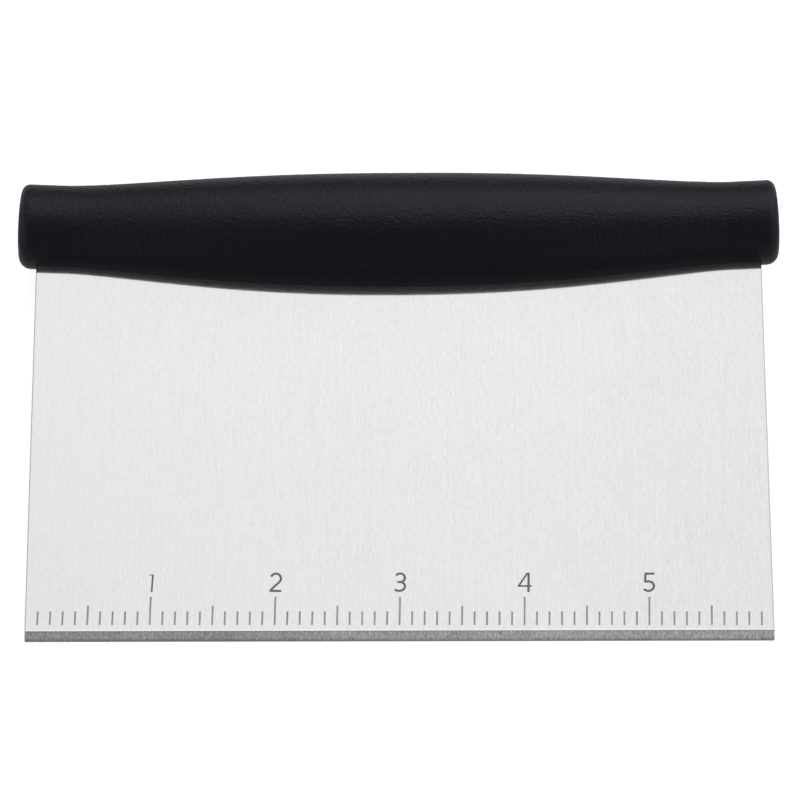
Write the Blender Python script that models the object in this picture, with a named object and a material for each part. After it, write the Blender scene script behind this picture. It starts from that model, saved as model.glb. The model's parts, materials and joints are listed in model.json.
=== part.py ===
"""Bench scraper, lying on its back on the bench.

A stainless blade carries an engraved inch ruler along its cutting edge. The upper part of the blade,
its tang, is pinned between the two halves of a moulded core, and a soft barrel grip covers the core.

Every piece is modelled flat, in the tool's own axes: +X along the ruler, +Y from the cutting edge to
the grip, +Z out of the ruled face, with the origin at the middle of the cutting edge. One empty then
tips the tool back until the grip and the cutting edge both touch the bench. All sizes are in metres.
"""

import math

import bmesh
import bpy
from mathutils import Matrix, Vector

MM = 0.001
INCH = 0.0254
GAP = 0.3 * MM

BLADE_WIDTH = 6 * INCH
BLADE_THICKNESS = 1.0 * MM
BLADE_SHOULDER = 90.5 * MM
BEVEL_HEIGHT = 2.0 * MM
EDGE_LAND = 0.3 * MM
CORNER_CUT = 0.4 * MM
TANG_WIDTH = 136.0 * MM
TANG_TOP = 99.2 * MM
TANG_CORNER = 3.0 * MM

RULER_BASE = 3.5 * MM
RULER_TURN = math.radians(-0.25)
MARK_LEAN = math.radians(1.0)
MARK_DEPTH = 0.1 * MM
TICK_WIDTH = 0.38 * MM
TENTH_TICK = 2.9 * MM
HALF_TICK = 4.3 * MM
INCH_TICK = 6.3 * MM
DIGIT_BASE = 7.4 * MM
DIGIT_STROKE = 0.45 * MM

GRIP_LENGTH = 159.6 * MM
GRIP_MIDDLE_RADIUS = 12.55 * MM
GRIP_END_RADIUS = 8.95 * MM
GRIP_BELLY = 139.0 * MM
GRIP_AXIS_HEIGHT = 94.0 * MM
GRIP_AXIS_RISE = 1.95 * MM
GRIP_AXIS_FORWARD = 1.0 * MM
GRIP_END_FILLET = 2.4 * MM
GRIP_END_DOME = 0.25 * MM
SKIN_THICKNESS = 1.8 * MM
CORE_END_FILLET = 1.0 * MM

PIN_PLACES = (-57.0 * MM, -19.0 * MM, 19.0 * MM, 57.0 * MM)
PIN_HEIGHT = 94.6 * MM
PIN_RADIUS = 2.0 * MM
PIN_LENGTH = 12.6 * MM
PIN_CHAMFER = 0.4 * MM
POCKET_PLACES = (8.0 * MM, 31.0 * MM, 46.0 * MM)
POCKET_WIDTH = 11.0 * MM
END_POCKET_PLACE = 69.0 * MM
END_POCKET_WIDTH = 7.0 * MM
POCKET_LOW = 91.6 * MM
POCKET_HIGH = 97.6 * MM
POCKET_DEPTH = 4.6 * MM

FAR_AWAY = 200.0 * MM
CUT_PAST = 3.0 * MM


def remove_everything():
    for item in list(bpy.data.objects):
        bpy.data.objects.remove(item, do_unlink=True)


def principled(name, color, roughness, metallic=0.0):
    material = bpy.data.materials.new(name)
    material.use_nodes = True
    shader = material.node_tree.nodes["Principled BSDF"]
    shader.inputs["Base Color"].default_value = (*color, 1.0)
    shader.inputs["Roughness"].default_value = roughness
    shader.inputs["Metallic"].default_value = metallic
    return material


def steel_material():
    return principled("brushed_stainless", (0.62, 0.62, 0.62), 0.32, 1.0)


def pin_material():
    return principled("pin_steel", (0.5, 0.5, 0.52), 0.4, 1.0)


def core_material():
    return principled("core_plastic", (0.05, 0.05, 0.055), 0.55)


def grip_material():
    return principled("soft_grip_rubber", (0.012, 0.013, 0.016), 0.7)


def mesh_object(name, shape, parent):
    bmesh.ops.recalc_face_normals(shape, faces=shape.faces)
    mesh = bpy.data.meshes.new(name)
    shape.to_mesh(mesh)
    shape.free()
    made = bpy.data.objects.new(name, mesh)
    bpy.context.scene.collection.objects.link(made)
    made.parent = parent
    return made


def shade_round(piece, sharp_degrees=35.0):
    piece.data.shade_smooth()
    piece.data.set_sharp_from_angle(angle=math.radians(sharp_degrees))


def cut(piece, cutter):
    cutter.hide_render = True
    cutter.display_type = "WIRE"
    change = piece.modifiers.new(cutter.name, "BOOLEAN")
    change.operation = "DIFFERENCE"
    change.solver = "EXACT"
    change.object = cutter


def extrude_outline(shape, outline, low, high):
    """Adds to shape a closed prism over a flat outline of (x, y) points."""
    bottom = [shape.verts.new((x, y, low)) for x, y in outline]
    top = [shape.verts.new((x, y, high)) for x, y in outline]
    shape.faces.new(list(reversed(bottom)))
    shape.faces.new(top)
    for i in range(len(outline)):
        j = (i + 1) % len(outline)
        shape.faces.new((bottom[i], bottom[j], top[j], top[i]))


def add_box(shape, low, high):
    size = Vector(high) - Vector(low)
    middle = (Vector(high) + Vector(low)) / 2
    place = Matrix.Translation(middle) @ Matrix.Diagonal((*size, 1.0))
    bmesh.ops.create_cube(shape, size=1.0, matrix=place)


def add_cylinder(shape, place, radius, low, high, sides=20):
    """Adds to shape a cylinder along Z round the point place (x, y)."""
    middle = Matrix.Translation((place[0], place[1], (low + high) / 2))
    bmesh.ops.create_cone(
        shape, cap_ends=True, segments=sides, radius1=radius, radius2=radius, depth=high - low, matrix=middle
    )


def arc(center, radii, start, end, steps):
    """Points along an elliptical arc from the start angle to the end angle, in degrees."""
    points = []
    for i in range(steps + 1):
        angle = math.radians(start + (end - start) * i / steps)
        points.append((center[0] + radii[0] * math.cos(angle), center[1] + radii[1] * math.sin(angle)))
    return points


def digit_strokes():
    """The pen strokes of the ruler's digits, in millimetres from the foot of each digit's inch line.

    Each digit has a list of strokes, and a stroke is a share of the full pen width and its points.
    """
    loop_of_two = arc((0.18, 3.01), (1.03, 1.12), 158, -38, 9)
    top_of_three = arc((-0.06, 3.18), (0.97, 0.98), 148, -78, 8)
    foot_of_three = arc((-0.22, 1.25), (1.20, 1.01), 78, -138, 9)
    foot_of_five = arc((-0.20, 1.32), (1.14, 1.08), 124, -142, 10)
    return {
        1: [(0.95, [(0.15, 0.0), (0.52, 3.92)]), (0.55, [(0.40, 3.79), (-0.42, 3.79)])],
        2: [(1.0, loop_of_two + [(-0.80, 0.46)]), (1.0, [(-1.05, 0.24), (1.36, 0.24)])],
        3: [(1.0, top_of_three), (1.0, [(-0.62, 2.23)] + foot_of_three)],
        4: [
            (1.0, [(0.76, 0.0), (0.76, 4.34)]),
            (0.8, [(0.50, 4.23), (-1.22, 1.41)]),
            (0.75, [(-1.42, 1.34), (1.46, 1.34)]),
        ],
        5: [
            (1.0, [(1.04, 4.12), (-0.95, 4.12)]),
            (1.0, [(-0.80, 3.88), (-0.84, 2.19)]),
            (1.0, foot_of_five),
        ],
    }


def add_stroke(shape, points, width, low, high):
    """Adds to shape a closed ribbon of even width along the points."""
    path = [Vector(point) for point in points]
    left, right = [], []
    for i, point in enumerate(path):
        before = (point - path[i - 1]).normalized() if i > 0 else None
        after = (path[i + 1] - point).normalized() if i + 1 < len(path) else None
        heading = ((before or after) + (after or before)).normalized()
        side = Vector((-heading.y, heading.x))
        reach = width / 2 / max(0.5, heading.dot(after or before))
        left.append(point + side * reach)
        right.append(point - side * reach)
    extrude_outline(shape, left + list(reversed(right)), low, high)


def on_ruler(x, height):
    """A point of the ruler's own plan, x from the blade's left edge, as a point of the blade."""
    leant = x + height * math.tan(MARK_LEAN) - BLADE_WIDTH / 2
    turned_x = leant * math.cos(RULER_TURN) - height * math.sin(RULER_TURN)
    turned_y = leant * math.sin(RULER_TURN) + height * math.cos(RULER_TURN)
    return turned_x, RULER_BASE + turned_y


def tick_length(tenths):
    if tenths % 10 == 0:
        return INCH_TICK
    if tenths % 5 == 0:
        return HALF_TICK
    return TENTH_TICK


def ruler_cutters(parent):
    """Three cutters for the engraving, so that no stroke crosses another in the same cutter."""
    floor = BLADE_THICKNESS / 2 - MARK_DEPTH
    above = BLADE_THICKNESS / 2 + CUT_PAST
    layers = [bmesh.new(), bmesh.new(), bmesh.new()]
    for tenths in range(1, 60):
        x = tenths * INCH / 10
        ends = [on_ruler(x, 0.0), on_ruler(x, tick_length(tenths))]
        add_stroke(layers[0], ends, TICK_WIDTH, floor, above)
    for inch, strokes in digit_strokes().items():
        for layer, (share, points) in zip(layers, strokes):
            placed = [on_ruler(inch * INCH + x * MM, DIGIT_BASE + y * MM) for x, y in points]
            add_stroke(layer, placed, share * DIGIT_STROKE, floor, above)
    return [mesh_object(f"ruler_cutter_{i}", layer, parent) for i, layer in enumerate(layers)]


def blade_outline():
    half, tang, cut_off = BLADE_WIDTH / 2, TANG_WIDTH / 2, CORNER_CUT
    right = [(half - cut_off, 0.0), (half, cut_off), (half, BLADE_SHOULDER), (tang, BLADE_SHOULDER)]
    right += arc((tang - TANG_CORNER, TANG_TOP - TANG_CORNER), (TANG_CORNER, TANG_CORNER), 0, 90, 5)
    left = [(-x, y) for x, y in reversed(right)]
    return right + left


def bevel_cutter(parent):
    """A long wedge that grinds the front of the cutting edge."""
    front = BLADE_THICKNESS / 2
    edge = EDGE_LAND - front
    slope = (front - edge) / BEVEL_HEIGHT
    above = front + CUT_PAST * slope
    profile = [(-CUT_PAST, edge - CUT_PAST * slope), (BEVEL_HEIGHT + CUT_PAST, above), (-CUT_PAST, above)]
    shape = bmesh.new()
    ends = []
    for x in (-BLADE_WIDTH, BLADE_WIDTH):
        ends.append([shape.verts.new((x, y, z)) for y, z in profile])
    shape.faces.new(ends[0])
    shape.faces.new(list(reversed(ends[1])))
    for i in range(3):
        j = (i + 1) % 3
        shape.faces.new((ends[0][i], ends[1][i], ends[1][j], ends[0][j]))
    return mesh_object("bevel_cutter", shape, parent)


def tang_hole_cutter(parent):
    shape = bmesh.new()
    for x in PIN_PLACES:
        add_cylinder(shape, (x, PIN_HEIGHT), PIN_RADIUS + GAP, -BLADE_THICKNESS, BLADE_THICKNESS)
    return mesh_object("tang_hole_cutter", shape, parent)


def make_blade(parent):
    shape = bmesh.new()
    extrude_outline(shape, blade_outline(), -BLADE_THICKNESS / 2, BLADE_THICKNESS / 2)
    blade = mesh_object("blade", shape, parent)
    blade.data.materials.append(steel_material())
    cut(blade, bevel_cutter(parent))
    cut(blade, tang_hole_cutter(parent))
    for cutter in ruler_cutters(parent):
        cut(blade, cutter)


def grip_radius(x):
    """Radius of the grip at x: a belly that runs out into straight ends."""
    share = min(1.0, abs(x) / (GRIP_BELLY / 2))
    return GRIP_END_RADIUS + (GRIP_MIDDLE_RADIUS - GRIP_END_RADIUS) * (1 - share**2.3) ** 1.5


def grip_axis(x):
    """Height of the grip's centre line at x: it bows towards the blade in the middle."""
    return GRIP_AXIS_HEIGHT + GRIP_AXIS_RISE * (x / (GRIP_LENGTH / 2)) ** 2


def barrel(inset, fillet, dome, sides, stretches):
    """The grip's solid, shrunk by inset all round, with filleted and slightly domed ends."""
    half = GRIP_LENGTH / 2 - inset
    stations = [(-half + 2 * half * i / stretches, 0.0) for i in range(1, stretches)]
    stations = [(x, drop) for x, drop in stations if abs(x) < half - fillet]
    corner = []
    for degrees in (0, 30, 60, 90):
        angle = math.radians(degrees)
        corner.append((half - fillet + fillet * math.sin(angle), fillet * (1 - math.cos(angle))))
    stations = [(-x, drop) for x, drop in reversed(corner)] + stations + corner
    shape = bmesh.new()
    rings = []
    for x, drop in stations:
        radius = grip_radius(x) - inset - drop
        ring = []
        center = (grip_axis(x), GRIP_AXIS_FORWARD)
        for y, z in arc(center, (radius, radius), 0, 360 - 360 / sides, sides - 1):
            ring.append(shape.verts.new((x, y, z)))
        rings.append(ring)
    for ring, following in zip(rings, rings[1:]):
        for i in range(sides):
            j = (i + 1) % sides
            shape.faces.new((ring[i], ring[j], following[j], following[i]))
    for ring, side in ((rings[0], -1), (rings[-1], 1)):
        x = side * (half + dome)
        hub = shape.verts.new((x, grip_axis(x), GRIP_AXIS_FORWARD))
        for i in range(sides):
            shape.faces.new((ring[i], ring[(i + 1) % sides], hub))
    return shape


def make_grip(parent):
    grip = mesh_object("grip_sleeve", barrel(0.0, GRIP_END_FILLET, GRIP_END_DOME, 32, 30), parent)
    grip.data.materials.append(grip_material())
    shade_round(grip)
    inside = mesh_object("grip_cavity_cutter", barrel(SKIN_THICKNESS, CORE_END_FILLET, 0.0, 20, 16), parent)
    cut(grip, inside)
    slot = bmesh.new()
    reach = BLADE_THICKNESS / 2 + GAP
    end = BLADE_WIDTH / 2 + GAP
    add_box(slot, (-end, 0.0, -reach), (end, GRIP_AXIS_HEIGHT, reach))
    cut(grip, mesh_object("blade_slot_cutter", slot, parent))


def other_half_box(side):
    """All the space on the other side of the blade, and half the gap between the two halves."""
    shape = bmesh.new()
    low, high = sorted((-side * FAR_AWAY, side * GAP / 2))
    add_box(shape, (-FAR_AWAY, -FAR_AWAY, low), (FAR_AWAY, FAR_AWAY, high))
    return shape


def shoulder_recess():
    shape = bmesh.new()
    reach = BLADE_THICKNESS / 2 + GAP
    wide = BLADE_WIDTH / 2 + GAP
    add_box(shape, (-wide, 0.0, -reach), (wide, BLADE_SHOULDER + GAP, reach))
    return shape


def tang_recess():
    shape = bmesh.new()
    reach = BLADE_THICKNESS / 2 + GAP
    narrow = TANG_WIDTH / 2 + GAP
    add_box(shape, (-narrow, BLADE_SHOULDER - GAP, -reach), (narrow, TANG_TOP + GAP, reach))
    return shape


def pin_holes_and_pockets():
    """The holes for the pins, and the pockets that keep the moulding's walls thin."""
    shape = bmesh.new()
    reach = PIN_LENGTH / 2 + GAP
    for x in PIN_PLACES:
        low, high = GRIP_AXIS_FORWARD - reach, GRIP_AXIS_FORWARD + reach
        add_cylinder(shape, (x, PIN_HEIGHT), PIN_RADIUS + GAP, low, high)
    pockets = [(x, POCKET_WIDTH) for x in POCKET_PLACES] + [(END_POCKET_PLACE, END_POCKET_WIDTH)]
    low, high = GRIP_AXIS_FORWARD - POCKET_DEPTH, GRIP_AXIS_FORWARD + POCKET_DEPTH
    for place, width in pockets:
        for x in (-place, place):
            add_box(shape, (x - width / 2, POCKET_LOW, low), (x + width / 2, POCKET_HIGH, high))
    return shape


def core_cutters(name, side, parent):
    """Cutters that turn a whole core into the half on one side of the blade."""
    shapes = {
        "other_half": other_half_box(side),
        "shoulder": shoulder_recess(),
        "tang": tang_recess(),
        "hollows": pin_holes_and_pockets(),
    }
    return [mesh_object(f"{name}_{part}_cutter", shape, parent) for part, shape in shapes.items()]


def make_core_half(name, side, material, parent):
    shape = barrel(SKIN_THICKNESS + GAP, CORE_END_FILLET, 0.0, 20, 14)
    half = mesh_object(name, shape, parent)
    half.data.materials.append(material)
    shade_round(half)
    for cutter in core_cutters(name, side, parent):
        cut(half, cutter)


def pin_mesh():
    """A dowel pin along Z with a chamfer at both ends."""
    shape = bmesh.new()
    add_cylinder(shape, (0.0, 0.0), PIN_RADIUS, -PIN_LENGTH / 2, PIN_LENGTH / 2)
    rims = [edge for edge in shape.edges if abs(edge.verts[0].co.z - edge.verts[1].co.z) < PIN_CHAMFER]
    bmesh.ops.bevel(shape, geom=rims, offset=PIN_CHAMFER, segments=1, affect="EDGES")
    mesh = bpy.data.meshes.new("tang_pin")
    shape.to_mesh(mesh)
    shape.free()
    mesh.shade_smooth()
    mesh.set_sharp_from_angle(angle=math.radians(35.0))
    mesh.materials.append(pin_material())
    return mesh


def make_pins(parent):
    mesh = pin_mesh()
    for number, x in enumerate(PIN_PLACES, start=1):
        pin = bpy.data.objects.new(f"tang_pin_{number}", mesh)
        bpy.context.scene.collection.objects.link(pin)
        pin.parent = parent
        pin.location = (x, PIN_HEIGHT, GRIP_AXIS_FORWARD)


def lay_on_bench():
    """The empty that tips the tool until grip and edge rest on the bench, centred over the origin."""
    back = BLADE_THICKNESS / 2
    rise = back + GRIP_AXIS_FORWARD
    reach = math.hypot(GRIP_AXIS_HEIGHT, rise)
    tilt = math.asin(GRIP_MIDDLE_RADIUS / reach) - math.atan2(rise, GRIP_AXIS_HEIGHT)
    front_of_land = EDGE_LAND - back
    nearest = -front_of_land * math.sin(tilt)
    grip_center = GRIP_AXIS_HEIGHT * math.cos(tilt) - GRIP_AXIS_FORWARD * math.sin(tilt)
    farthest = grip_center + GRIP_MIDDLE_RADIUS
    rest = bpy.data.objects.new("lying_on_bench", None)
    bpy.context.scene.collection.objects.link(rest)
    rest.rotation_euler = (tilt, 0.0, 0.0)
    rest.location = (0.0, -(nearest + farthest) / 2, back * math.cos(tilt))
    return rest


def main():
    remove_everything()
    rest = lay_on_bench()
    make_blade(rest)
    core = core_material()
    make_core_half("core_front_half", 1, core, rest)
    make_core_half("core_rear_half", -1, core, rest)
    make_pins(rest)
    make_grip(rest)


main()
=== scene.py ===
"""The looks of the bench scraper: a brushed, engraved blade and a pebbled soft grip, on a pale bench.

Both visible pieces are modelled flat, in the tool's own axes: +X along the ruler, +Y from the cutting
edge to the grip, +Z out of the ruled face, with the origin at the middle of the cutting edge. The
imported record's cutting edge says how the tool lies on the bench. All sizes are in metres.
"""

import json
import math

import bmesh
import bpy
import numpy as np
from mathutils import Matrix, Vector, noise


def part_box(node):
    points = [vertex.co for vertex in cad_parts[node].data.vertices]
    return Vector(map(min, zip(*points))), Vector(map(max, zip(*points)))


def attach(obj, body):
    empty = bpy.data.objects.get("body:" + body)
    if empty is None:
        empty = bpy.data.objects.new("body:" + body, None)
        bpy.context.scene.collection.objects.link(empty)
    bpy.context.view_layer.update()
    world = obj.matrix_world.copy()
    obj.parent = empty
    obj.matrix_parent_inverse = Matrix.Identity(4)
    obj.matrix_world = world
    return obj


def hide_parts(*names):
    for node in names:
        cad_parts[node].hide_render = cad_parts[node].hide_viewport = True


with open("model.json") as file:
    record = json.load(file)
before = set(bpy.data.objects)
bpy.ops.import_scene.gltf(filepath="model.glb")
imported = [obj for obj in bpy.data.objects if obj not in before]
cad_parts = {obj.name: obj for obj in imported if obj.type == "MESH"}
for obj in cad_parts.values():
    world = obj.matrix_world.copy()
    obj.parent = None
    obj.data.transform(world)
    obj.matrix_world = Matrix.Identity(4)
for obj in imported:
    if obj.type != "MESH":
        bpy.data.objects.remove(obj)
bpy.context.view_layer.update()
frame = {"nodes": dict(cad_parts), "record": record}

MM = 0.001
INCH = 0.0254

BLADE_THICKNESS = 1.0 * MM
BLADE_SHOULDER = 90.5 * MM
BEVEL_HEIGHT = 2.0 * MM
EDGE_LAND = 0.3 * MM
EDGE_ROUNDING = 0.10 * MM
EDGE_ROUNDING_STEPS = 3
ROUNDED_EDGE_ANGLE = math.radians(40.0)
CORNER_CUT = 0.15 * MM
TANG_WIDTH = 136.0 * MM
TANG_TOP = 99.2 * MM
TANG_CORNER = 3.0 * MM
TANG_CORNER_STEPS = 5
BEVEL_CUTTER_REACH = 3.0 * MM
SHEEN_UV_SCALE = 5.0
SIDE_FACING = 0.7

RULER_TENTHS = 60
RULER_BASE = 3.23 * MM
RULER_TURN = math.radians(-0.13)
MARK_LEAN = math.radians(1.0)
MARK_DEPTH = 0.08 * MM
MARK_CUTTER_REACH = 1.0 * MM
TICK_WIDTH = 0.38 * MM
TENTH_TICK = 3.02 * MM
HALF_TICK = 4.3 * MM
INCH_TICK = 6.3 * MM
DIGIT_BASE = 7.4 * MM
DIGIT_STROKE = 0.48 * MM
TICK_TONES = (0.30, 0.52)
DIGIT_TONES = (0.12, 0.24)

STEEL_METALLIC = 0.94
FINE_LINE_SHARE = 0.75
BROAD_LINE_SHARE = 0.25
STREAK_SHARE = 0.85
SMUDGE_SHARE = 0.15
STREAK_ROUGHNESS = 0.04
SMUDGE_ROUGHNESS = 0.015

GRIP_LENGTH = 159.2 * MM
GRIP_MIDDLE_RADIUS = 12.55 * MM
GRIP_END_RADIUS = 8.95 * MM
GRIP_BELLY = 139.0 * MM
BELLY_CURVE = 2.3
BELLY_RUNOUT = 1.5
GRIP_AXIS_HEIGHT = 93.81 * MM
GRIP_AXIS_RISE = 1.95 * MM
GRIP_AXIS_FORWARD = 1.28 * MM
GRIP_TILT = math.radians(0.25)
GRIP_END_FILLET = 2.04 * MM
GRIP_FILLET_SWING = 0.37 * MM
GRIP_END_DOME = 0.25 * MM
GRIP_END_LEAN = 0.055
GRIP_LEAN_LENGTH = 10.0 * MM
SKIN_THICKNESS = 1.8 * MM
SLOT_HALF_HEIGHT = 0.53 * MM
SLOT_END = 76.23 * MM
SLOT_SLACK = 0.001 * MM
GRIP_SPACING = 0.42 * MM
GRIP_RIM_STEPS = 8
GRIP_CAP_RINGS = 14
LIP_COLUMNS = 2
SHARP_EDGE_ANGLE = math.radians(50.0)
CAVITY_COLUMNS = 24
CAVITY_RIM_STEPS = 3
CAVITY_CAP_RINGS = 1
CAVITY_FILLET = 1.0 * MM
PEBBLE_SIZE = 0.8 * MM
PEBBLE_HEIGHT = 0.07 * MM
PEBBLE_CREASE = 0.4
PEBBLE_SHARE = 0.75
SWELL_SHARE = 0.25
SWELL_SCALE = 0.6
GRIP_BUMP = 0.11 * MM
BUMP_CELL = 0.65 * MM
BUMP_CREASE = 0.4
BUMP_CELL_SHARE = 0.3
BUMP_GRAIN_SHARE = 0.9
GRIP_DARK = (0.0031, 0.0041, 0.0071)
GRIP_LIGHT = (0.0039, 0.0051, 0.0085)

CAMERA_BELOW_NORMAL = math.radians(27.0)
CAMERA_DISTANCE = 1139.2 * MM
CAMERA_AIM_HEIGHT = 54.56 * MM
CAMERA_AIM_SIDE = 0.20 * MM
CAMERA_ROLL = math.radians(-0.12)
CAMERA_LENS_MM = 247.05

ROOM_LIGHT = 0.20
RIGHT_WALL_LIGHT = 0.8
LEFT_WALL_LIGHT = 0.65
WALL_SPAN = (0.25, 0.62)
BACKDROP_LIGHT = 1.0
BENCH_GLOW = 0.25
BENCH_CAMERA_GLOW = 0.9
SOFTBOX_WIDTH = 2.0
SOFTBOX_DEPTH = 1.6
SOFTBOX_DISTANCE = 1.3
SOFTBOX_ASIDE = 0.6
SOFTBOX_LEAN = math.radians(28.0)
SOFTBOX_POWER = 11.5


def mount(name):
    found = next(m for m in frame["record"]["mounts"] if m["name"] == name)
    return Vector(found["pos_m"]), Vector(found["axis"])


def read_tool_axes():
    """The matrix from the tool's own axes to the bench, from the narrow land of the cutting edge."""
    land, down = mount("cutting_edge")
    up = -down
    across = Vector((1.0, 0.0, 0.0))
    front = across.cross(up)
    matrix = Matrix((across, up, front)).transposed().to_4x4()
    matrix.translation = land + front * (BLADE_THICKNESS - EDGE_LAND) / 2
    return matrix


TOOL = read_tool_axes()
BLADE_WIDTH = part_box("blade")[1].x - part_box("blade")[0].x


# --- node helpers ---------------------------------------------------------------------------------


def new_material(name):
    material = bpy.data.materials.new(name)
    material.use_nodes = True
    return material, material.node_tree, material.node_tree.nodes["Principled BSDF"]


def stretched_noise(tree, scale, detail=2.0):
    """Noise over the piece's own axes, scale features to the metre along each."""
    place = tree.nodes.new("ShaderNodeTexCoord")
    mapping = tree.nodes.new("ShaderNodeMapping")
    mapping.inputs["Scale"].default_value = scale
    texture = tree.nodes.new("ShaderNodeTexNoise")
    texture.inputs["Scale"].default_value = 1.0
    texture.inputs["Detail"].default_value = detail
    texture.inputs["Roughness"].default_value = 0.5
    tree.links.new(place.outputs["Object"], mapping.inputs["Vector"])
    tree.links.new(mapping.outputs["Vector"], texture.inputs["Vector"])
    return texture.outputs["Fac"]


def even_noise(tree, scale, detail=2.0):
    """Noise with scale features to the metre in every direction."""
    return stretched_noise(tree, (scale, scale, scale), detail)


def line_noise(tree, across, along, detail=2.0):
    """Noise with across features to the metre over the blade's width, and along over its height."""
    return stretched_noise(tree, (across, along, across), detail)


def cell_distance(tree, size, feature="F1"):
    """Distances in a pattern of cells of about that size, over the piece's own axes."""
    place = tree.nodes.new("ShaderNodeTexCoord")
    cells = tree.nodes.new("ShaderNodeTexVoronoi")
    cells.feature = feature
    cells.inputs["Scale"].default_value = 1 / size
    tree.links.new(place.outputs["Object"], cells.inputs["Vector"])
    return cells.outputs["Distance"]


def spread(tree, value, low, high, from_low=0.3, from_high=0.7):
    """value, which runs from about from_low to from_high, as a number from low to high."""
    node = tree.nodes.new("ShaderNodeMapRange")
    node.inputs["From Min"].default_value = from_low
    node.inputs["From Max"].default_value = from_high
    node.inputs["To Min"].default_value = low
    node.inputs["To Max"].default_value = high
    tree.links.new(value, node.inputs["Value"])
    return node.outputs["Result"]


def combine(tree, operation, first, second):
    node = tree.nodes.new("ShaderNodeMath")
    node.operation = operation
    for socket, value in zip(node.inputs, (first, second)):
        if isinstance(value, (int, float)):
            socket.default_value = value
        else:
            tree.links.new(value, socket)
    return node.outputs["Value"]


def weighted(tree, first, share, second, other_share):
    """The sum of two values, each times its own share."""
    scaled = combine(tree, "MULTIPLY", first, share)
    other_scaled = combine(tree, "MULTIPLY", second, other_share)
    return combine(tree, "ADD", scaled, other_scaled)


def paint(tree, shader, value, dark, light):
    """Colours the shader from dark to light by a noise value."""
    share = spread(tree, value, 0.0, 1.0)
    node = tree.nodes.new("ShaderNodeMix")
    node.data_type = "RGBA"
    node.inputs[6].default_value = (*dark, 1.0)
    node.inputs[7].default_value = (*light, 1.0)
    tree.links.new(share, node.inputs[0])
    tree.links.new(node.outputs[2], shader.inputs["Base Color"])


def add_bump(tree, shader, height, distance):
    node = tree.nodes.new("ShaderNodeBump")
    node.inputs["Strength"].default_value = 1.0
    node.inputs["Distance"].default_value = distance
    tree.links.new(height, node.inputs["Height"])
    tree.links.new(node.outputs["Normal"], shader.inputs["Normal"])


def scale_base_color(tree, share):
    """Multiplies the brightness that feeds the shader's base colour by a share."""
    base = tree.nodes["Principled BSDF"].inputs["Base Color"]
    tree.links.new(combine(tree, "MULTIPLY", base.links[0].from_socket, share), base)


# --- materials ------------------------------------------------------------------------------------


def brushed_steel(name, brightness, contrast, roughness, anisotropic, line_width, line_length, bump):
    """Stainless steel brushed along the blade's height, in lines of about that width and length."""
    material, tree, shader = new_material(name)
    shader.inputs["Metallic"].default_value = STEEL_METALLIC
    shader.inputs["Anisotropic"].default_value = anisotropic
    tangent = tree.nodes.new("ShaderNodeTangent")
    tangent.direction_type = "UV_MAP"
    tree.links.new(tangent.outputs["Tangent"], shader.inputs["Tangent"])
    fine = line_noise(tree, 0.5 / line_width, 0.5 / line_length)
    broad = line_noise(tree, 0.22 / line_width, 0.05 / line_length)
    smudge = line_noise(tree, 45.0, 60.0, 3.0)
    streaks = weighted(tree, fine, FINE_LINE_SHARE, broad, BROAD_LINE_SHARE)
    tone = weighted(tree, streaks, STREAK_SHARE, smudge, SMUDGE_SHARE)
    low, high = brightness * (1 - contrast), brightness * (1 + contrast)
    tree.links.new(spread(tree, tone, low, high), shader.inputs["Base Color"])
    rough_streaks = spread(tree, streaks, roughness - STREAK_ROUGHNESS, roughness + STREAK_ROUGHNESS)
    rough_smudges = spread(tree, smudge, -SMUDGE_ROUGHNESS, SMUDGE_ROUGHNESS)
    tree.links.new(combine(tree, "ADD", rough_streaks, rough_smudges), shader.inputs["Roughness"])
    add_bump(tree, shader, streaks, bump)
    return material


def paint_light_along(material, axis, start, end, factor, mirrored=True):
    """Paints light and shade on a brushed material, multiplying its brightness by a factor from none of
    it at start to all at end.

    start and end are places on the piece's own axis, and mirrored repeats them on the far side.
    """
    tree = material.node_tree
    place = tree.nodes.new("ShaderNodeTexCoord")
    parts = tree.nodes.new("ShaderNodeSeparateXYZ")
    tree.links.new(place.outputs["Object"], parts.inputs["Vector"])
    along = parts.outputs[axis]
    if mirrored:
        along = combine(tree, "ABSOLUTE", along, 0.0)
    scale_base_color(tree, spread(tree, along, 1.0, factor, start, end))


def add_pits(material, spacing, radius, factor):
    """Scatters small darker pits over a brushed material, about one to each square of that spacing."""
    tree = material.node_tree
    reach = radius / spacing
    distance = cell_distance(tree, spacing)
    scale_base_color(tree, spread(tree, distance, factor, 1.0, 0.5 * reach, reach))


def blade_face_steel():
    """The brushed face, with a painted shade line along its sheared sides and a painted highlight line
    over the bevel.

    It has painted shade too: it is slightly darker towards the cutting edge, where the ruler is, and
    towards its right side.
    """
    steel = brushed_steel(
        "brushed_stainless",
        brightness=0.63,
        contrast=0.08,
        roughness=0.12,
        anisotropic=1.0,
        line_width=0.14 * MM,
        line_length=0.75 * MM,
        bump=0.0008 * MM,
    )
    half = BLADE_WIDTH / 2
    # painted shade: a dark line along the blade's sheared sides
    paint_light_along(steel, "X", half - 0.30 * MM, half - 0.12 * MM, 0.62)
    # painted highlight: a bright line along the top of the bevel
    paint_light_along(steel, "Y", BEVEL_HEIGHT + 0.45 * MM, BEVEL_HEIGHT + 0.20 * MM, 1.10)
    # painted shade: slightly darker towards the cutting edge and towards the right side
    paint_light_along(steel, "Y", 65.0 * MM, 10.0 * MM, 0.96)
    paint_light_along(steel, "X", 20.0 * MM, half, 0.96, mirrored=False)
    add_pits(steel, 8.0 * MM, 0.16 * MM, 0.80)
    return steel


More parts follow.
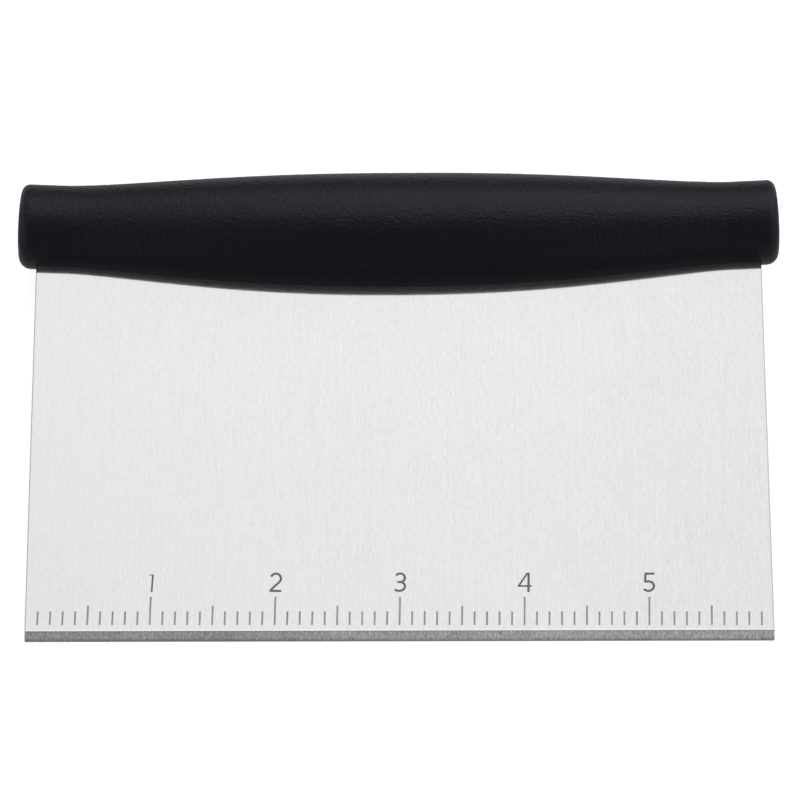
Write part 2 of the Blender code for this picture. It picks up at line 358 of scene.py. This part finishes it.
def bevel_steel():
    """The ground bevel, with painted shade at its edge, along the line where it meets the face, and
    towards its left.
    """
    steel = brushed_steel(
        "ground_bevel",
        brightness=0.56,
        contrast=0.50,
        roughness=0.56,
        anisotropic=0.3,
        line_width=0.11 * MM,
        line_length=0.5 * MM,
        bump=0.005 * MM,
    )
    # painted shade: darker along the cutting edge, along the line where the bevel meets the face, and
    # towards the left
    paint_light_along(steel, "Y", 0.65 * MM, 0.10 * MM, 0.60)
    paint_light_along(steel, "Y", BEVEL_HEIGHT - 0.30 * MM, BEVEL_HEIGHT - 0.10 * MM, 0.78)
    paint_light_along(steel, "X", 0.0, -35.0 * MM, 0.82, mirrored=False)
    return steel


def etched_marks(name, dark, light):
    """The frosted grey floor of the engraving."""
    material, tree, shader = new_material(name)
    frost = even_noise(tree, 7000.0, 3.0)
    wear = even_noise(tree, 120.0)
    tone = weighted(tree, frost, 0.5, wear, 0.5)
    tree.links.new(spread(tree, tone, dark, light), shader.inputs["Base Color"])
    tree.links.new(spread(tree, frost, 0.5, 0.8), shader.inputs["Roughness"])
    shader.inputs["Metallic"].default_value = 0.6
    add_bump(tree, shader, frost, 0.01 * MM)
    return material


def soft_grip():
    """Blue-black thermoplastic rubber with a leathery pebble."""
    material, tree, shader = new_material("soft_grip_rubber")
    shader.inputs["Specular Tint"].default_value = (0.82, 0.88, 1.0, 1.0)
    edges = cell_distance(tree, BUMP_CELL, "DISTANCE_TO_EDGE")
    cells = spread(tree, edges, 0.0, 1.0, 0.0, BUMP_CREASE)
    grain = even_noise(tree, 1500.0, 0.8)
    cloud = even_noise(tree, 70.0)
    relief = weighted(tree, cells, BUMP_CELL_SHARE, grain, BUMP_GRAIN_SHARE)
    tone = weighted(tree, grain, 0.8, cloud, 0.2)
    paint(tree, shader, tone, GRIP_DARK, GRIP_LIGHT)
    tree.links.new(spread(tree, grain, 0.37, 0.30), shader.inputs["Roughness"])
    tree.links.new(spread(tree, tone, 0.25, 0.28), shader.inputs["Specular IOR Level"])
    add_bump(tree, shader, relief, GRIP_BUMP)
    return material


def moulded_plastic():
    material, tree, shader = new_material("core_plastic")
    flow = stretched_noise(tree, (90.0, 400.0, 400.0), 3.0)
    grain = even_noise(tree, 3000.0)
    paint(tree, shader, flow, (0.035, 0.035, 0.04), (0.06, 0.06, 0.066))
    tree.links.new(spread(tree, grain, 0.45, 0.6), shader.inputs["Roughness"])
    add_bump(tree, shader, grain, 0.02 * MM)
    return material


def drawn_pin_steel():
    material, tree, shader = new_material("pin_steel")
    shader.inputs["Metallic"].default_value = 1.0
    lines = stretched_noise(tree, (4000.0, 4000.0, 100.0), 3.0)
    paint(tree, shader, lines, (0.42, 0.42, 0.44), (0.56, 0.56, 0.58))
    tree.links.new(spread(tree, lines, 0.3, 0.45), shader.inputs["Roughness"])
    add_bump(tree, shader, lines, 0.005 * MM)
    return material


def bench_top():
    """A plain pale bench, with a faint mottle, that glows: faintly onto the pieces, and brightly to the
    camera, which washes out the shadows on it.
    """
    material, tree, shader = new_material("bench_top")
    paint(tree, shader, even_noise(tree, 9.0), (0.24, 0.24, 0.24), (0.27, 0.27, 0.27))
    shader.inputs["Roughness"].default_value = 0.9
    shader.inputs["Specular IOR Level"].default_value = 0.1
    shader.inputs["Emission Color"].default_value = (1.0, 1.0, 1.0, 1.0)
    # painted light: the glow lights the pieces faintly and looks brighter to the camera
    path = tree.nodes.new("ShaderNodeLightPath")
    glow = spread(tree, path.outputs["Is Camera Ray"], BENCH_GLOW, BENCH_CAMERA_GLOW, 0.0, 1.0)
    tree.links.new(glow, shader.inputs["Emission Strength"])
    return material


# --- shapes ---------------------------------------------------------------------------------------


def mesh_object(name, shape, material):
    bmesh.ops.recalc_face_normals(shape, faces=shape.faces)
    mesh = bpy.data.meshes.new(name)
    shape.to_mesh(mesh)
    shape.free()
    made = bpy.data.objects.new(name, mesh)
    bpy.context.scene.collection.objects.link(made)
    mesh.materials.append(material)
    return made


def extrude_outline(shape, outline, low, high):
    """Adds to shape a closed prism over a flat outline of (x, y) points."""
    bottom = [shape.verts.new((x, y, low)) for x, y in outline]
    top = [shape.verts.new((x, y, high)) for x, y in outline]
    shape.faces.new(list(reversed(bottom)))
    shape.faces.new(top)
    for i in range(len(outline)):
        j = (i + 1) % len(outline)
        shape.faces.new((bottom[i], bottom[j], top[j], top[i]))


def arc(center, radii, start, end, steps):
    """Points along an elliptical arc from the start angle to the end angle, in degrees."""
    points = []
    for i in range(steps + 1):
        angle = math.radians(start + (end - start) * i / steps)
        x = center[0] + radii[0] * math.cos(angle)
        y = center[1] + radii[1] * math.sin(angle)
        points.append((x, y))
    return points


def digit_strokes():
    """The pen strokes of the ruler's digits, in millimetres from the foot of each digit's inch line.

    Each digit has a list of strokes, and a stroke is a share of the full pen width and its points.
    """
    loop_of_two = arc((-0.02, 3.01), (1.03, 1.12), 158, -38, 14)
    top_of_three = arc((-0.06, 3.18), (0.97, 0.98), 148, -78, 12)
    foot_of_three = arc((-0.22, 1.25), (1.20, 1.01), 78, -138, 14)
    foot_of_five = arc((-0.20, 1.32), (1.14, 1.08), 124, -142, 14)
    return {
        1: [(0.75, [(0.13, 0.0), (0.24, 3.92)]), (0.42, [(0.14, 3.80), (-0.47, 3.80)])],
        2: [(1.0, loop_of_two + [(-1.00, 0.46)]), (1.0, [(-1.25, 0.24), (1.16, 0.24)])],
        3: [(1.0, top_of_three), (1.0, [(-0.62, 2.23)] + foot_of_three)],
        4: [
            (1.0, [(0.76, 0.0), (0.76, 4.34)]),
            (0.8, [(0.50, 4.23), (-1.22, 1.41)]),
            (0.75, [(-1.42, 1.34), (1.46, 1.34)]),
        ],
        5: [
            (1.0, [(1.04, 4.12), (-0.95, 4.12)]),
            (1.0, [(-0.80, 3.88), (-0.84, 2.19)]),
            (1.0, foot_of_five),
        ],
    }


def add_stroke(shape, points, width, low, high):
    """Adds to shape a closed ribbon of even width along the points."""
    path = [Vector(point) for point in points]
    left, right = [], []
    for i, point in enumerate(path):
        before = (point - path[i - 1]).normalized() if i > 0 else None
        after = (path[i + 1] - point).normalized() if i + 1 < len(path) else None
        heading = ((before or after) + (after or before)).normalized()
        side = Vector((-heading.y, heading.x))
        reach = width / 2 / max(0.5, heading.dot(after or before))
        left.append(point + side * reach)
        right.append(point - side * reach)
    extrude_outline(shape, left + list(reversed(right)), low, high)


def on_ruler(x, height):
    """A point of the ruler's own plan, x from the blade's left edge, as a point of the blade."""
    leant = x + height * math.tan(MARK_LEAN) - BLADE_WIDTH / 2
    turned_x = leant * math.cos(RULER_TURN) - height * math.sin(RULER_TURN)
    turned_y = leant * math.sin(RULER_TURN) + height * math.cos(RULER_TURN)
    return turned_x, RULER_BASE + turned_y


def tick_length(tenths):
    if tenths % 10 == 0:
        return INCH_TICK
    if tenths % 5 == 0:
        return HALF_TICK
    return TENTH_TICK


def tick_layer(floor, above):
    """The ruler's lines, as one layer of closed ribbons."""
    ticks = bmesh.new()
    for tenths in range(1, RULER_TENTHS):
        x = tenths * INCH / 10
        line = [on_ruler(x, 0.0), on_ruler(x, tick_length(tenths))]
        add_stroke(ticks, line, TICK_WIDTH, floor, above)
    return ticks


def digit_layers(floor, above):
    """The ruler's digits, with the first, second and third strokes of each in a layer of their own."""
    layers = [bmesh.new(), bmesh.new(), bmesh.new()]
    for inch, strokes in digit_strokes().items():
        for layer, (share, points) in zip(layers, strokes):
            placed = [on_ruler(inch * INCH + x * MM, DIGIT_BASE + y * MM) for x, y in points]
            add_stroke(layer, placed, share * DIGIT_STROKE, floor, above)
    return layers


def ruler_cutters():
    """Cutters for the engraving, layered so that no stroke crosses another in the same cutter."""
    floor = BLADE_THICKNESS / 2 - MARK_DEPTH
    above = BLADE_THICKNESS / 2 + MARK_CUTTER_REACH
    ticks, digits = tick_layer(floor, above), digit_layers(floor, above)
    darker = etched_marks("etched_digits", *DIGIT_TONES)
    cutters = [mesh_object("tick_cutter", ticks, etched_marks("etched_ticks", *TICK_TONES))]
    return cutters + [mesh_object(f"digit_cutter_{i}", layer, darker) for i, layer in enumerate(digits)]


def blade_outline():
    half, tang, cut_off = BLADE_WIDTH / 2, TANG_WIDTH / 2, CORNER_CUT
    right = [(half - cut_off, 0.0), (half, cut_off), (half, BLADE_SHOULDER), (tang, BLADE_SHOULDER)]
    corner = (tang - TANG_CORNER, TANG_TOP - TANG_CORNER)
    right += arc(corner, (TANG_CORNER, TANG_CORNER), 0, 90, TANG_CORNER_STEPS)
    left = [(-x, y) for x, y in reversed(right)]
    return right + left


def bevel_cutter(material):
    """A long wedge that grinds the front of the cutting edge."""
    front = BLADE_THICKNESS / 2
    edge = EDGE_LAND - front
    slope = (front - edge) / BEVEL_HEIGHT
    past = BEVEL_CUTTER_REACH
    low, high = edge - past * slope, front + past * slope
    profile = [(-past, low), (BEVEL_HEIGHT + past, high), (-past, high)]
    shape = bmesh.new()
    ends = []
    for x in (-BLADE_WIDTH, BLADE_WIDTH):
        ends.append([shape.verts.new((x, y, z)) for y, z in profile])
    shape.faces.new(ends[0])
    shape.faces.new(list(reversed(ends[1])))
    for i in range(3):
        j = (i + 1) % 3
        shape.faces.new((ends[0][i], ends[1][i], ends[1][j], ends[0][j]))
    return mesh_object("bevel_cutter", shape, material)


def cut(piece, cutter):
    change = piece.modifiers.new(cutter.name, "BOOLEAN")
    change.operation = "DIFFERENCE"
    change.solver = "EXACT"
    change.material_mode = "TRANSFER"
    change.object = cutter


def settle(piece, cutters):
    """Applies the piece's modifiers and removes its cutters."""
    graph = bpy.context.evaluated_depsgraph_get()
    mesh = bpy.data.meshes.new_from_object(piece.evaluated_get(graph))
    piece.modifiers.clear()
    piece.data = mesh
    for cutter in cutters:
        bpy.data.objects.remove(cutter)


def sheen_uv(mesh):
    """A UV map for the brushed sheen: U across the brush lines, and V along them.

    U is the blade's own X, or Z on its sides; V is its own Y, or Z on its ends.
    """
    layer = mesh.uv_layers.new(name="sheen")
    places = np.empty(len(mesh.vertices) * 3)
    mesh.vertices.foreach_get("co", places)
    corners = np.empty(len(mesh.loops), dtype=int)
    mesh.loops.foreach_get("vertex_index", corners)
    normals = np.empty(len(mesh.polygons) * 3)
    mesh.polygons.foreach_get("normal", normals)
    corner_counts = np.empty(len(mesh.polygons), dtype=int)
    mesh.polygons.foreach_get("loop_total", corner_counts)
    spots = places.reshape(-1, 3)[corners]
    facing = np.abs(np.repeat(normals.reshape(-1, 3), corner_counts, axis=0))
    u = np.where(facing[:, 0] > SIDE_FACING, spots[:, 2], spots[:, 0])
    v = np.where(facing[:, 1] > SIDE_FACING, spots[:, 2], spots[:, 1])
    layer.data.foreach_set("uv", (np.stack([u, v], axis=-1) * SHEEN_UV_SCALE).ravel())


def make_blade():
    plate = bmesh.new()
    extrude_outline(plate, blade_outline(), -BLADE_THICKNESS / 2, BLADE_THICKNESS / 2)
    blade = mesh_object("engraved_blade", plate, blade_face_steel())
    grinder = bevel_cutter(bevel_steel())
    cut(blade, grinder)
    rounding = blade.modifiers.new("edge_rounding", "BEVEL")
    rounding.width = EDGE_ROUNDING
    rounding.segments = EDGE_ROUNDING_STEPS
    rounding.limit_method = "ANGLE"
    rounding.angle_limit = ROUNDED_EDGE_ANGLE
    gravers = ruler_cutters()
    for graver in gravers:
        cut(blade, graver)
    settle(blade, [grinder, *gravers])
    sheen_uv(blade.data)
    return blade


def grip_radius(x):
    """Radius of the grip at x: a belly that runs out into straight ends."""
    share = np.minimum(1.0, np.abs(x) / (GRIP_BELLY / 2))
    belly = (1 - share**BELLY_CURVE) ** BELLY_RUNOUT
    return GRIP_END_RADIUS + (GRIP_MIDDLE_RADIUS - GRIP_END_RADIUS) * belly


def grip_axis(x):
    """Height of the grip's centre line at x: it bows towards the blade, and sits a hair off square."""
    return GRIP_AXIS_HEIGHT + GRIP_AXIS_RISE * (x / (GRIP_LENGTH / 2)) ** 2 + math.tan(GRIP_TILT) * x


def smooth_step(share):
    share = np.clip(share, 0.0, 1.0)
    return share * share * (3 - 2 * share)


def barrel_grid(half, inset, fillets, straight, corner_steps, columns):
    """A barrel's points by station and column, with how far each leans outwards along the barrel.

    The columns run from the slot's rear lip round the back to its front lip. straight has the
    stations between the fillets, as shares of that length, and fillets has each column's radius.
    """
    turn = np.radians(np.linspace(0, 90, corner_steps + 1)[1:])
    lean = np.concatenate([-turn[::-1], np.zeros(len(straight)), turn])
    along = np.concatenate([-np.ones(corner_steps), straight, np.ones(corner_steps)])
    x = along[:, None] * (half - fillets) + np.sin(lean)[:, None] * fillets
    radius = grip_radius(x) - inset - (1 - np.cos(lean))[:, None] * fillets
    rear = np.pi + np.arcsin((GRIP_AXIS_FORWARD + SLOT_HALF_HEIGHT) / radius)
    front = 3 * np.pi - np.arcsin((SLOT_HALF_HEIGHT - GRIP_AXIS_FORWARD) / radius)
    angles = rear + (front - rear) * np.linspace(0, 1, columns)
    y = grip_axis(x) + radius * np.cos(angles)
    z = GRIP_AXIS_FORWARD + radius * np.sin(angles)
    return np.stack([x, y, z], axis=-1), lean, angles


def lean_ends(points):
    """Leans the barrel's end faces, so that its back is a little shorter than its front."""
    x, y = points[..., 0], points[..., 1]
    near_end = smooth_step((np.abs(x) - (GRIP_LENGTH / 2 - GRIP_LEAN_LENGTH)) / GRIP_LEAN_LENGTH)
    x -= np.sign(x) * GRIP_END_LEAN * near_end * (y - grip_axis(x))


def pebbles(points):
    """Height of the pebbled grain, from 0 in its creases to 1, at each of the points."""
    heights = np.empty(points.shape[:-1])
    for place in np.ndindex(heights.shape):
        where = Vector(points[place]) / PEBBLE_SIZE
        distances, _ = noise.voronoi(where)
        crease = min(1.0, (distances[1] - distances[0]) / PEBBLE_CREASE)
        swell = SWELL_SHARE * noise.noise(where * SWELL_SCALE)
        heights[place] = PEBBLE_SHARE * crease * (2 - crease) + swell
    return heights


def outer_skin(around):
    """The pebbled outside of the grip, as points by station and column."""
    half = GRIP_LENGTH / 2
    fillets = GRIP_END_FILLET + GRIP_FILLET_SWING * np.cos(2 * np.pi * np.linspace(0, 1, around))
    length = half - fillets[0]
    straight = np.linspace(-1, 1, round(2 * length / GRIP_SPACING))
    slot_share = SLOT_END / length
    straight = np.sort(np.append(straight, (-slot_share, slot_share)))
    points, lean, angles = barrel_grid(half, 0.0, fillets, straight, GRIP_RIM_STEPS, around)
    sideways = np.broadcast_to(np.sin(lean)[:, None], angles.shape)
    upright = np.cos(lean)[:, None]
    outward = np.stack([sideways, upright * np.cos(angles), upright * np.sin(angles)], -1)
    from_lip = np.minimum(np.arange(around), np.arange(around)[::-1])
    depth = (1 - pebbles(points)) * PEBBLE_HEIGHT * np.minimum(1.0, from_lip / LIP_COLUMNS)
    points -= outward * depth[..., None]
    lean_ends(points)
    return points


def end_cap(rim, side, rings):
    """Rings of points from a closed rim in to the end's middle, on a slight dome."""
    hub = rim.mean(axis=0)
    caps = []
    for share in np.linspace(1, 0, rings + 1)[1:-1]:
        ring = hub + (rim - hub) * share
        ring[:, 0] += side * GRIP_END_DOME * (1 - share**2)
        ring[:, 0] -= side * (1 - pebbles(ring)) * PEBBLE_HEIGHT * share
        caps.append(ring)
    hub[0] += side * GRIP_END_DOME
    return caps, hub


class Skin:
    """Collects vertices and faces."""

    def __init__(self):
        self.vertices = []
        self.faces = []

    def add_points(self, points):
        """Adds an array of points, and returns their numbers in the same arrangement."""
        flat = points.reshape(-1, 3)
        first = len(self.vertices)
        self.vertices += flat.tolist()
        return first + np.arange(len(flat)).reshape(points.shape[:-1])

    def add_strip(self, first, second):
        """Adds quads between two rows of vertex numbers."""
        first, second = list(first), list(second)
        self.faces += [(a, b, d, c) for a, b, c, d in zip(first, first[1:], second, second[1:])]

    def add_fan(self, ring, hub):
        ring = list(ring)
        self.faces += [(a, b, hub) for a, b in zip(ring, ring[1:] + ring[:1])]


def close_end(skin, points, numbers, row, side, rings):
    """Closes one end of a barrel with a domed cap."""
    caps, hub = end_cap(points[row], side, rings)
    ring = numbers[row]
    for cap in caps:
        following = skin.add_points(cap)
        skin.add_strip([*ring, ring[0]], [*following, following[0]])
        ring = following
    skin.add_fan(ring, skin.add_points(hub[None])[0])


def join_barrel(skin, points, stations):
    """Adds a barrel to skin, open only along the slot, and returns its vertex numbers."""
    numbers = skin.add_points(points)
    for row in range(len(numbers) - 1):
        skin.add_strip(numbers[row], numbers[row + 1])
        middle = (stations[row] + stations[row + 1]) / 2
        if abs(middle) > SLOT_END:
            here, following = numbers[row], numbers[row + 1]
            skin.add_strip((here[-1], here[0]), (following[-1], following[0]))
    return numbers


def close_ends(skin, points, numbers, rings):
    close_end(skin, points, numbers, 0, -1, rings)
    close_end(skin, points, numbers, -1, 1, rings)


def join_cavity(skin, stations):
    """Adds the grip's hollow inside to skin, and returns its vertex numbers at the stations."""
    half = GRIP_LENGTH / 2 - SKIN_THICKNESS
    fillets = np.full(CAVITY_COLUMNS, CAVITY_FILLET)
    shares = stations / (half - CAVITY_FILLET)
    inside, _, _ = barrel_grid(half, SKIN_THICKNESS, fillets, shares, CAVITY_RIM_STEPS, CAVITY_COLUMNS)
    numbers = join_barrel(skin, inside, inside[:, 0, 0])
    close_ends(skin, inside, numbers, CAVITY_CAP_RINGS)
    return numbers[CAVITY_RIM_STEPS:-CAVITY_RIM_STEPS]


def line_slot(skin, outer, inner):
    """Joins the outside to the hollow inside, all round the slot."""
    for column in (0, -1):
        skin.add_strip(outer[:, column], inner[:, column])
    for row in (0, -1):
        skin.add_strip((outer[row, 0], outer[row, -1]), (inner[row, 0], inner[row, -1]))


def make_grip():
    """The grip as a hollow skin, whose only opening is the slot that the blade goes through."""
    around = round(2 * math.pi * GRIP_MIDDLE_RADIUS / GRIP_SPACING)
    outside = outer_skin(around)
    stations = outside[:, 0, 0]
    skin = Skin()
    outer = join_barrel(skin, outside, stations)
    close_ends(skin, outside, outer, GRIP_CAP_RINGS)
    in_slot = np.flatnonzero(np.abs(stations) <= SLOT_END + SLOT_SLACK)
    line_slot(skin, outer[in_slot], join_cavity(skin, stations[in_slot]))

    mesh = bpy.data.meshes.new("pebbled_grip")
    mesh.from_pydata(skin.vertices, [], skin.faces)
    shape = bmesh.new()
    shape.from_mesh(mesh)
    grip = mesh_object("pebbled_grip", shape, soft_grip())
    grip.data.shade_smooth()
    grip.data.set_sharp_from_angle(angle=SHARP_EDGE_ANGLE)
    return grip


# --- stage ----------------------------------------------------------------------------------------


def dress_hidden_pieces():
    plastic, steel = moulded_plastic(), drawn_pin_steel()
    for name, node in frame["nodes"].items():
        node.data.materials.clear()
        node.data.materials.append(steel if name.startswith("tang_pin") else plastic)


def make_bench():
    shape = bmesh.new()
    bmesh.ops.create_grid(shape, x_segments=1, y_segments=1, size=4.0)
    bench = mesh_object("bench", shape, bench_top())
    bench.location.z = -0.02 * MM


def make_camera():
    tilt = CAMERA_BELOW_NORMAL
    back = Vector((0.0, -math.sin(tilt), math.cos(tilt)))
    up = Vector((0.0, math.cos(tilt), math.sin(tilt)))
    aim = Vector((CAMERA_AIM_SIDE, CAMERA_AIM_HEIGHT, BLADE_THICKNESS / 2))
    axes = Matrix((Vector((1.0, 0.0, 0.0)), up, back)).transposed()
    place = (axes @ Matrix.Rotation(CAMERA_ROLL, 3, "Z")).to_4x4()
    place.translation = aim + back * CAMERA_DISTANCE
    camera = bpy.data.objects.new("camera", bpy.data.cameras.new("camera"))
    camera.data.lens = CAMERA_LENS_MM
    camera.data.clip_start = 0.01
    camera.matrix_world = TOOL @ place
    bpy.context.scene.collection.objects.link(camera)
    bpy.context.scene.camera = camera


def make_world():
    """A dim grey studio with pale walls at either side, around a bright backdrop."""
    world = bpy.data.worlds.new("studio")
    world.use_nodes = True
    bpy.context.scene.world = world
    tree = world.node_tree
    background = tree.nodes["Background"]
    background.inputs["Color"].default_value = (1.0, 1.0, 1.0, 1.0)
    place = tree.nodes.new("ShaderNodeTexCoord")
    parts = tree.nodes.new("ShaderNodeSeparateXYZ")
    tree.links.new(place.outputs["Generated"], parts.inputs["Vector"])
    right = spread(tree, parts.outputs["X"], ROOM_LIGHT, RIGHT_WALL_LIGHT, *WALL_SPAN)
    left = spread(tree, parts.outputs["X"], 0.0, LEFT_WALL_LIGHT, -WALL_SPAN[0], -WALL_SPAN[1])
    path = tree.nodes.new("ShaderNodeLightPath")
    backdrop = combine(tree, "MULTIPLY", path.outputs["Is Camera Ray"], BACKDROP_LIGHT)
    strength = combine(tree, "MAXIMUM", combine(tree, "ADD", right, left), backdrop)
    tree.links.new(strength, background.inputs["Strength"])


def make_softbox():
    """One large softbox overhead, behind the grip and a little to the right."""
    light = bpy.data.lights.new("softbox", "AREA")
    light.shape = "RECTANGLE"
    light.size = SOFTBOX_WIDTH
    light.size_y = SOFTBOX_DEPTH
    light.energy = SOFTBOX_POWER
    softbox = bpy.data.objects.new("softbox", light)
    behind = SOFTBOX_DISTANCE * math.sin(SOFTBOX_LEAN)
    above = SOFTBOX_DISTANCE * math.cos(SOFTBOX_LEAN)
    softbox.location = (SOFTBOX_ASIDE, behind, above)
    softbox.rotation_euler = (-SOFTBOX_LEAN, 0.0, 0.0)
    bpy.context.scene.collection.objects.link(softbox)


def main():
    scene = bpy.context.scene
    scene.view_settings.view_transform = "Standard"
    make_camera()
    make_world()
    make_softbox()
    make_bench()
    dress_hidden_pieces()
    blade = make_blade()
    grip = make_grip()
    for piece, node, slot in ((blade, "blade", "blade_steel"), (grip, "grip_sleeve", "grip_rubber")):
        piece.matrix_world = TOOL
        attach(piece, "root")
        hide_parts(node)


main()
